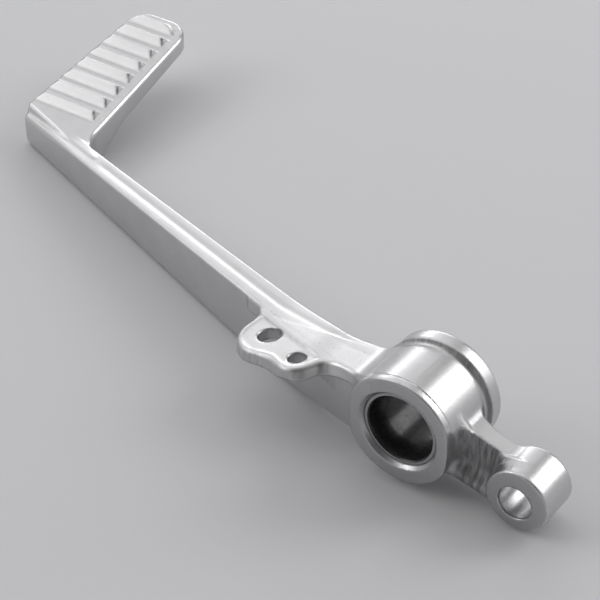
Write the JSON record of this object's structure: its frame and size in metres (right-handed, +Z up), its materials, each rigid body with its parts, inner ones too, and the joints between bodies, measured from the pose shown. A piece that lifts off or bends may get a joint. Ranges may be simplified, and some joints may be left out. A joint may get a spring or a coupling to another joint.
{
  "type": "motorcycle rear brake pedal",
  "caption": "Cast aluminium rear brake pedal with a ribbed toe plate, a straight arm, a drilled tab, a bushed pivot hub and a rod lever.",
  "frame": {"origin": "middle of the pivot bore, halfway along the 20 mm hub", "axes": "+Y along the pivot axis towards the tip of the toe plate, outboard on the bike; +X from the pivot towards the rod lever, so the arm runs to -X; +Z up as the pedal lies on a level surface"},
  "size_m": [0.1899, 0.1047, 0.0284],
  "materials": {
    "cast_aluminium": "satin, bead-blasted casting with turned faces",
    "bush_lining": "smooth dark sliding layer on a steel back"
  },
  "bodies": {
    "root": {"pedal_casting": "cast_aluminium", "pivot_bush": "bush_lining"}
  },
  "joints": []
}
